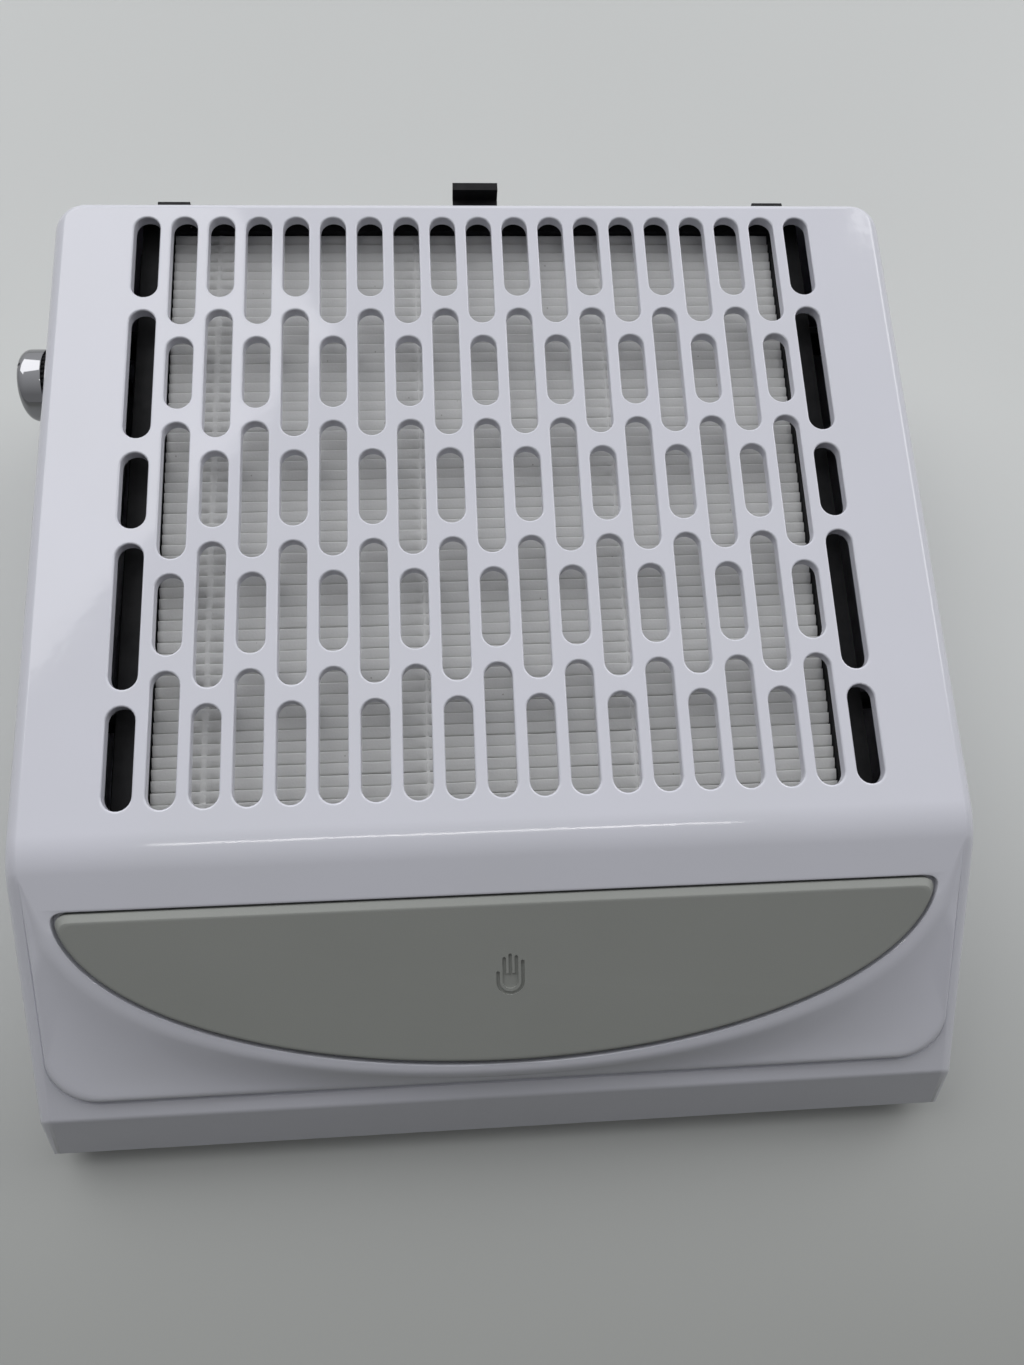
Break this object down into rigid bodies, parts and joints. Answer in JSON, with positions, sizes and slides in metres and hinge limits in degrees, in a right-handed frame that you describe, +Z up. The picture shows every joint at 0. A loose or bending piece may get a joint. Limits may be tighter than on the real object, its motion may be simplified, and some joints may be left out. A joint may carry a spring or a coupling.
{
  "type": "nail dust collector",
  "caption": "Desk-top nail dust collector: slotted intake over a pull-out pleated filter, blower below, sloping front with a hand rest, speed knob on the side.",
  "frame": {"origin": "centre of the overall box at the underside of the feet", "axes": "+Z up, -Y is the front with the hand rest, -X is the knob's side, +Y is the rear where the filter pulls out"},
  "size_m": [0.2608, 0.275, 0.0882],
  "materials": {
    "white_case": "smooth gloss, faintly bluish white",
    "grey_rest": "fine satin grey",
    "rubber_feet": "matt black",
    "plain_steel": "bright zinc",
    "motor_steel": "drawn steel",
    "rotor_windings": "enamelled wire",
    "black_plastic": "satin black",
    "filter_paper": "pleated filter paper",
    "clear_glue": "set glue line",
    "chrome_cap": "mirror plated",
    "board_green": "solder mask",
    "fan_plastic": "moulded dark grey",
    "dark_plastic": "moulded near black"
  },
  "bodies": {
    "case": {"top_cover": "white_case", "hand_rest_pad": "grey_rest", "base_pan": "white_case", "rubber_foot_front_left": "rubber_feet", "rubber_foot_front_right": "rubber_feet", "rubber_foot_rear_left": "rubber_feet", "rubber_foot_rear_right": "rubber_feet", "case_screw_front_left": "plain_steel", "case_screw_front_right": "plain_steel", "case_screw_rear_left": "plain_steel", "case_screw_rear_right": "plain_steel", "filter_rail_left": "black_plastic", "filter_rail_right": "black_plastic", "filter_stop": "black_plastic", "blower_housing": "dark_plastic", "blower_lid": "dark_plastic", "fan_guard": "black_plastic", "motor_can": "motor_steel", "motor_end_plate": "motor_steel", "bearing_lower": "plain_steel", "bearing_upper": "plain_steel", "motor_screw_1": "plain_steel", "motor_screw_2": "plain_steel", "motor_screw_3": "plain_steel", "exhaust_louver": "dark_plastic", "dc_jack": "black_plastic", "jack_nut": "plain_steel", "control_board": "board_green", "board_capacitor": "dark_plastic", "board_terminal": "dark_plastic", "potentiometer_body": "plain_steel", "potentiometer_nut": "plain_steel"},
    "filter": {"filter_frame": "black_plastic", "filter_media": "filter_paper", "filter_bead_1": "clear_glue", "filter_bead_2": "clear_glue", "filter_bead_3": "clear_glue"},
    "knob": {"speed_knob": "chrome_cap", "knob_grip": "black_plastic", "potentiometer_shaft": "plain_steel"},
    "fan": {"impeller": "fan_plastic", "motor_shaft": "plain_steel", "motor_rotor": "rotor_windings"}
  },
  "joints": [
    {"name": "knob_turn", "type": "hinge", "parent": "case", "child": "knob", "pos_m": [-0.11955, 0.07591, 0.06345], "axis": [1, 0, 0], "range_deg": [0, 300]},
    {"name": "filter_slide", "type": "slide", "parent": "case", "child": "filter", "axis": [0, 0.9945, 0.1045], "range_m": [0, 0.2]},
    {"name": "fan_spin", "type": "hinge", "parent": "case", "child": "fan", "pos_m": [0.00545, 0.0346, 0.02], "axis": [0, 0, 1], "continuous": true}
  ]
}
